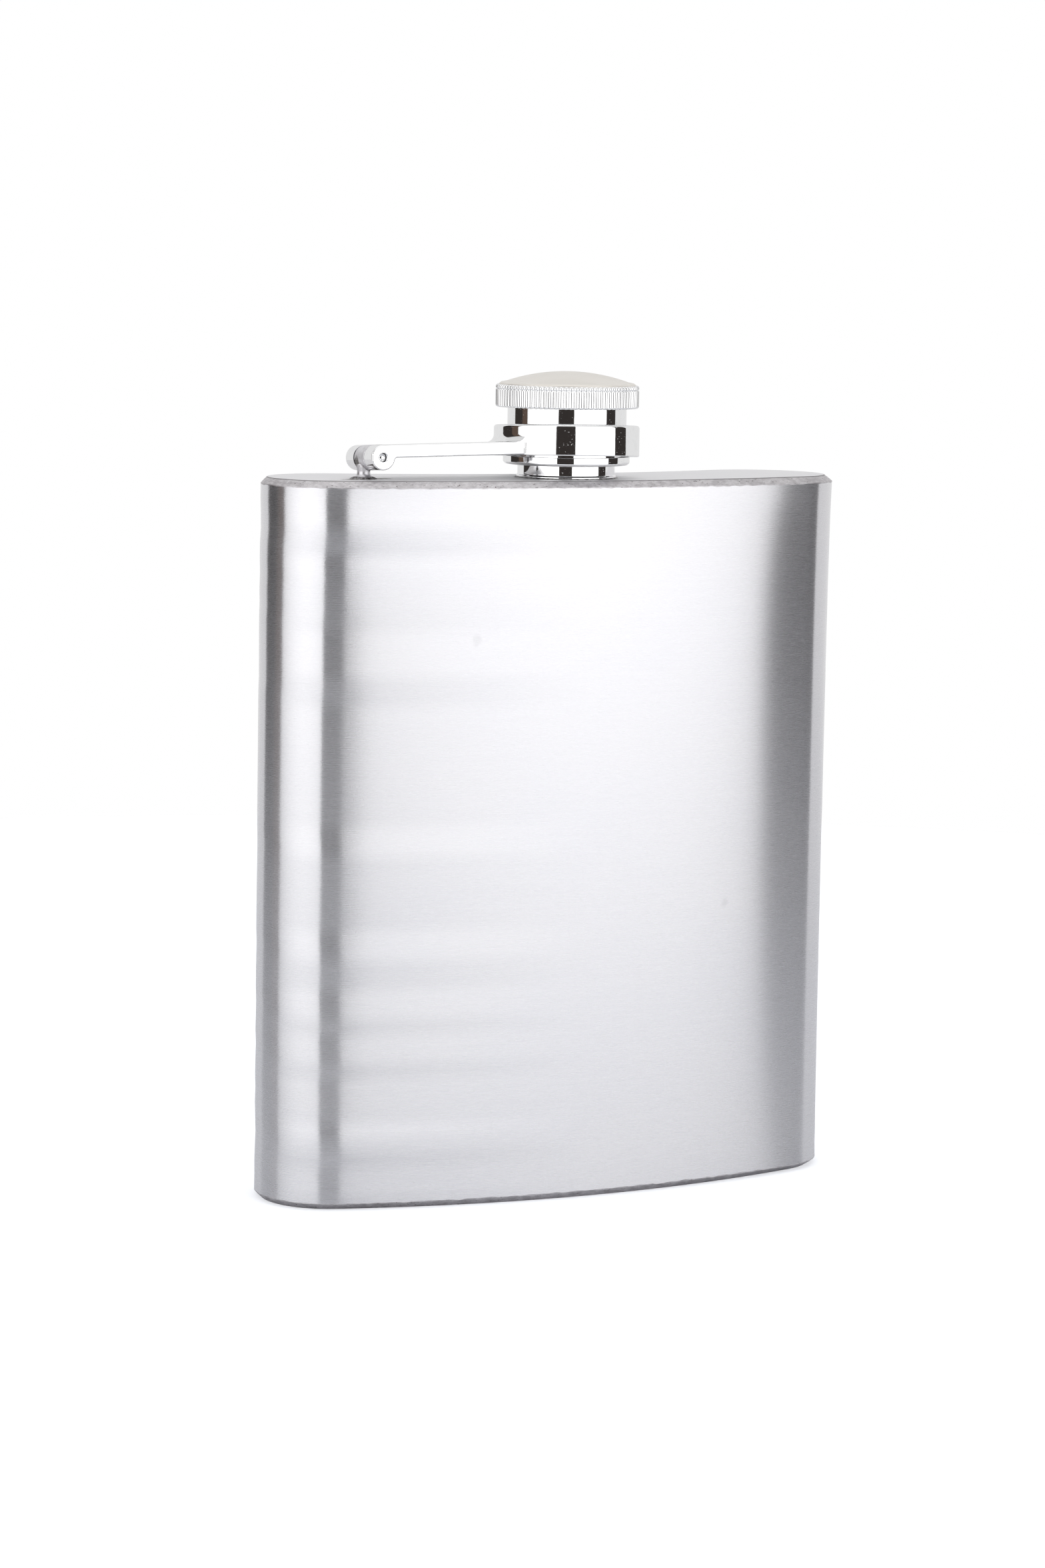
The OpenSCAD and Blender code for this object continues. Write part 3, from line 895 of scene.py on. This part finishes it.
def top_fillet(half, top):
    """Hollow fillet between the strap's top and the collar's wall, as wide as the strap."""
    outer = COLLAR_R + TOP_FILLET
    arc = arc_points(outer, top + TOP_FILLET, TOP_FILLET, 180, 270, 12)
    inner, foot = COLLAR_R - 0.5, top - 0.9
    profile = np.concatenate([[[inner, top + TOP_FILLET]], arc, [[outer, foot], [inner, foot]]])
    ring = lathe("top_fillet", profile, 256)
    return combined(ring, block("block", (-15, -half, -8), (-5, half, 8)), "INTERSECT")


def collar_arm():
    """Collar, strap and two-eyed fork in one piece."""
    half = COLLAR_H / 2
    ring = lathe("collar", spaced(rounded([(COUNTERBORE_R, -half, 0.08), (COLLAR_R, -half, 0.18),
        (COLLAR_R, half, 0.45), (COLLAR_BORE_R, half, 0.2), (COLLAR_BORE_R, COUNTERBORE_H - half, 0.08),
        (COUNTERBORE_R, COUNTERBORE_H - half)], 8), 0.35), 256)
    arm = turned(strap(), hinge_frame)
    turned(ring, collar_frame)
    core = turned(drum("core", COLLAR_BORE_R + 1.0, -THROUGH, THROUGH), collar_frame)
    arm = combined(arm, core, "DIFFERENCE")
    arm = combined(arm, ring, "UNION")
    join_x = cap_at.x - hinge_at.x - COLLAR_R
    top = hinge_at.z + EYE_R + math.tan(math.radians(STRAP_RISE)) * join_x - TOP_Z - COLLAR_Z
    top -= COLLAR_R * math.sin(math.radians(COLLAR_TILT))
    half = STRAP_W / 2
    arm = combined(arm, turned(top_fillet(half - 0.08, top - 0.03), collar_frame), "UNION")
    for side in (-1, 1):
        wedge = plan_fillet(side, half, top - STRAP_T + 0.12, top - 0.12)
        arm = combined(arm, turned(wedge, collar_frame), "UNION")
    mouth = FORK_W / 2
    hole = lathe("hole", rounded([(0, -THROUGH), (PIN_MOUTH_R, -THROUGH), (PIN_MOUTH_R, -mouth),
        (PIN_HOLE_R, 0.1 - mouth, 0.08), (PIN_HOLE_R, mouth - 0.1, 0.08), (PIN_MOUTH_R, mouth),
        (PIN_MOUTH_R, THROUGH), (0, THROUGH)], 4), 64)
    arm = combined(arm, turned(hole, hinge_frame @ across_y), "DIFFERENCE")
    slot_half = KNUCKLE_W / 2 + KNUCKLE_GAP
    slot = block("slot", (-4, -slot_half, -4), (EYE_R + 0.4, slot_half, 4))
    arm = combined(arm, turned(slot, hinge_frame), "DIFFERENCE")
    arm.name = "collar_arm"
    return applied(tidy(arm, 30), ("WEIGHTED_NORMAL", {"weight": 100, "keep_sharp": True}))


def hinge_post():
    """Knuckle and post, cast in one and smoothed where they run together."""
    rise = hinge_at.z - TOP_Z
    at_pin = Matrix.Translation(hinge_at - post_foot) @ Matrix.Rotation(lean, 4, "X") @ across_y
    knuckle = turned(drum("knuckle", EYE_R, -KNUCKLE_W / 2, KNUCKLE_W / 2, 0.12, 96), at_pin)
    stem = lathe("stem", rounded([(0, 0), (1.3, 0), (1.3, 0.3), (1.0, 0.62, 0.3), (0.95, 1.1, 0.5),
        (1.1, rise - 1.35, 0.3), (1.15, rise - 0.9), (0, rise - 0.9)], 5), 96)
    bore = turned(drum("bore", PIN_HOLE_R, -6, 6), at_pin)
    post = combined(combined(knuckle, stem, "UNION"), bore, "DIFFERENCE")
    post = applied(post, ("REMESH", {"mode": "VOXEL", "voxel_size": 0.06}),
                   ("SMOOTH", {"factor": 0.5, "iterations": 8}))
    for v in post.vertices:
        v.co.z = max(v.co.z, 0.0)
    return tidy(post, 50)


def hinge_pin():
    """Short pin set back in the eyes, its ends peened into shallow domes."""
    corners = [(0, -PIN_HALF), (0.22, -PIN_HALF, 0.05), (0.34, 0.06 - PIN_HALF, 0.05),
        (PIN_R, 0.2 - PIN_HALF, 0.1), (PIN_R, PIN_HALF - 0.2, 0.1), (0.34, PIN_HALF - 0.06, 0.05),
        (0.22, PIN_HALF, 0.05), (0, PIN_HALF)]
    return lathe("hinge_pin", rounded(corners, 4), 64)


place("collar_arm", "arm", polished, collar_arm())
place("hinge_pin", "arm", pin_metal, hinge_pin(), hinge_frame @ across_y)
post_frame = Matrix.Translation(post_foot)
place("hinge_post", "flask", cast, hinge_post(), post_frame)
place("hinge_weld", "flask", burnt, weld_ring("hinge_weld", 1.3, 2.05, 0.36, 19), post_frame)

# ---------------------------------------------------------------- floor, light and camera

FLOOR_R = 0.42
FLOOR_GLOW = 0.5
FLOOR_Z = -0.00002
CAMERA_AT = Vector((-288.659, -584.512, 142.710))
CAMERA_AZ, CAMERA_EL, CAMERA_ROLL = 25.672, 7.141, 0.947
LENS = 99.72
SHIFT = (0.00917, -0.00091)


def floor():
    """Plain pale disc under the flask."""
    material, tree, surface, point = new_material("studio_floor")
    grain = noise(tree, point, (0.02, 0.02, 0.02), 2)
    tone = blend_colour(tree, grain, (0.70, 0.715, 0.75, 1), (0.72, 0.735, 0.77, 1))
    seen = shader(tree, "ShaderNodeLightPath").outputs["Is Camera Ray"]
    feed(tree, surface, Base_Color=tone, Roughness=0.9, Specular_IOR_Level=0.1,
         Emission_Color=(0.97, 0.98, 1.0, 1), Emission_Strength=maths(tree, "MULTIPLY", seen, FLOOR_GLOW))
    work = bmesh.new()
    bmesh.ops.create_circle(work, cap_ends=True, segments=128, radius=FLOOR_R)
    mesh = finished("studio_floor", work)
    mesh.materials.append(material)
    disc = bpy.data.objects.new("studio_floor", mesh)
    disc.location.z = FLOOR_Z
    bpy.context.collection.objects.link(disc)


# White panels and dark gaps on a round wall about the flask. Bearings are in degrees from the
# camera's, counted towards the right of the picture. Each has its middle and half width; a panel
# also has its brightness, the bearing where it is brightest, and how much dimmer it is FALL_ANGLE
# away from there. WARM is the brown part of the left gap.
WALL_R = 0.43
WALL_H = 0.39
WALL_FOOT = 0.12
GAP_FADE = 0.08
EDGE_SOFT = 0.3
WARM_SOFT = 1.0
PANELS = ((-49.3, 32.7, 1.63, -41.0, 0.62), (47.15, 33.85, 1.66, 47.0, 0.41))
GAPS = ((-101.0, 19.0), (-1.65, 14.95), (93.5, 12.5))
WARM = (-89.0, 6.5)
WARM_DARK = (0.10, 0.07, 0.055, 1)
FALL_ANGLE = 40.0
BACK_LIGHT = 0.78
CEILING = 1.1
LOW_SKY = 0.7
# Sines of the elevations between which the light overhead goes from LOW_SKY to CEILING.
SKY_RISE = (0.77, 0.91)
DARK = (0.035, 0.030, 0.028, 1)


def studio_wall():
    """Round wall that lights the flask: two white panels, dark gaps beside them, the rest pale grey."""
    material = bpy.data.materials.new("studio_wall")
    material.use_nodes = True
    tree = material.node_tree
    tree.nodes.clear()
    place_at = shader(tree, "ShaderNodeNewGeometry").outputs["Position"]
    flat = shader(tree, "ShaderNodeVectorMath", {0: place_at, 1: (1, 1, 0)},
        operation="MULTIPLY").outputs[0]
    flat = shader(tree, "ShaderNodeVectorMath", {0: flat}, operation="NORMALIZE").outputs[0]
    height = shader(tree, "ShaderNodeSeparateXYZ", {0: place_at}).outputs[2]

    def off_axis(angle):
        """Angle in radians between a point's bearing and one given in degrees from the camera's."""
        bearing = math.radians(angle - 90 - CAMERA_AZ)
        facing = (math.cos(bearing), math.sin(bearing), 0)
        along = shader(tree, "ShaderNodeVectorMath", {0: flat, 1: facing}, operation="DOT_PRODUCT")
        return maths(tree, "ARCCOSINE", maths(tree, "MINIMUM", along.outputs["Value"], 0.999999))

    def within(middle, half, soft=EDGE_SOFT):
        """1 on a stretch of the wall and 0 off it, with an edge of soft degrees each way."""
        return remap(tree, off_axis(middle), math.radians(half - soft), math.radians(half + soft), 1.0, 0.0)

    light = BACK_LIGHT
    for middle, half, bright, peak, fall in PANELS:
        inside = within(middle, half)
        share = maths(tree, "POWER", maths(tree, "DIVIDE", off_axis(peak), math.radians(FALL_ANGLE)), 2.0)
        glow = maths(tree, "SUBTRACT", bright, maths(tree, "MULTIPLY", share, fall))
        light = shader(tree, "ShaderNodeMix", {0: inside, 2: light, 3: glow}).outputs[0]
    dark = 0.0
    for middle, half in GAPS:
        dark = maths(tree, "MAXIMUM", dark, within(middle, half))
    dark = maths(tree, "MULTIPLY", dark, remap(tree, height, WALL_H - GAP_FADE, WALL_H, 1.0, 0.0))
    white = shader(tree, "ShaderNodeCombineColor", {0: light, 1: light, 2: light}).outputs[0]
    shade = blend_colour(tree, within(*WARM, WARM_SOFT), DARK, WARM_DARK)
    glow = shader(tree, "ShaderNodeEmission", {"Color": blend_colour(tree, dark, white, shade)})
    shader(tree, "ShaderNodeOutputMaterial", {"Surface": glow.outputs[0]})

    angles = np.linspace(0, TAU, 180, endpoint=False)
    ring = np.stack([np.cos(angles), np.sin(angles), 0 * angles], axis=1) * WALL_R
    mesh = grid_mesh("studio_wall", np.array([ring - (0, 0, WALL_FOOT), ring + (0, 0, WALL_H)]))
    mesh.materials.append(material)
    wall = bpy.data.objects.new("studio_wall", mesh)
    wall.visible_camera = False
    bpy.context.collection.objects.link(wall)


def ceiling_light():
    """Soft white light overhead, greyer above the wall, and a white backdrop for the camera."""
    world = bpy.data.worlds.new("studio")
    bpy.context.scene.world = world
    world.use_nodes = True
    tree = world.node_tree
    seen = shader(tree, "ShaderNodeLightPath").outputs["Is Camera Ray"]
    toward = shader(tree, "ShaderNodeTexCoord").outputs["Generated"]
    up = shader(tree, "ShaderNodeSeparateXYZ", {0: toward}).outputs[2]
    sky = remap(tree, up, *SKY_RISE, LOW_SKY, CEILING)
    level_of = shader(tree, "ShaderNodeMix", {0: seen, 2: sky, 3: 1.0}).outputs[0]
    tree.links.new(level_of, tree.nodes["Background"].inputs["Strength"])
    tree.nodes["Background"].inputs["Color"].default_value = (1, 1, 1, 1)


def camera():
    """Camera at the photograph's viewing angle."""
    az, el, roll = (math.radians(a) for a in (CAMERA_AZ, CAMERA_EL, CAMERA_ROLL))
    ahead = Vector((math.sin(az) * math.cos(el), math.cos(az) * math.cos(el), -math.sin(el)))
    right = Vector((math.cos(az), -math.sin(az), 0))
    up = right.cross(ahead)
    right, up = right * math.cos(roll) + up * math.sin(roll), up * math.cos(roll) - right * math.sin(roll)
    data = bpy.data.cameras.new("camera")
    data.sensor_width = 36
    data.lens = LENS
    data.shift_x, data.shift_y = SHIFT
    data.clip_start = 0.05
    eye = bpy.data.objects.new("camera", data)
    basis = Matrix((right, up, -ahead)).transposed().to_4x4()
    eye.matrix_world = Matrix.Translation(CAMERA_AT * MM) @ basis
    bpy.context.collection.objects.link(eye)
    bpy.context.scene.camera = eye


floor()
studio_wall()
ceiling_light()
camera()
bpy.context.scene.view_settings.view_transform = "Standard"
bpy.context.scene.view_settings.look = "None"
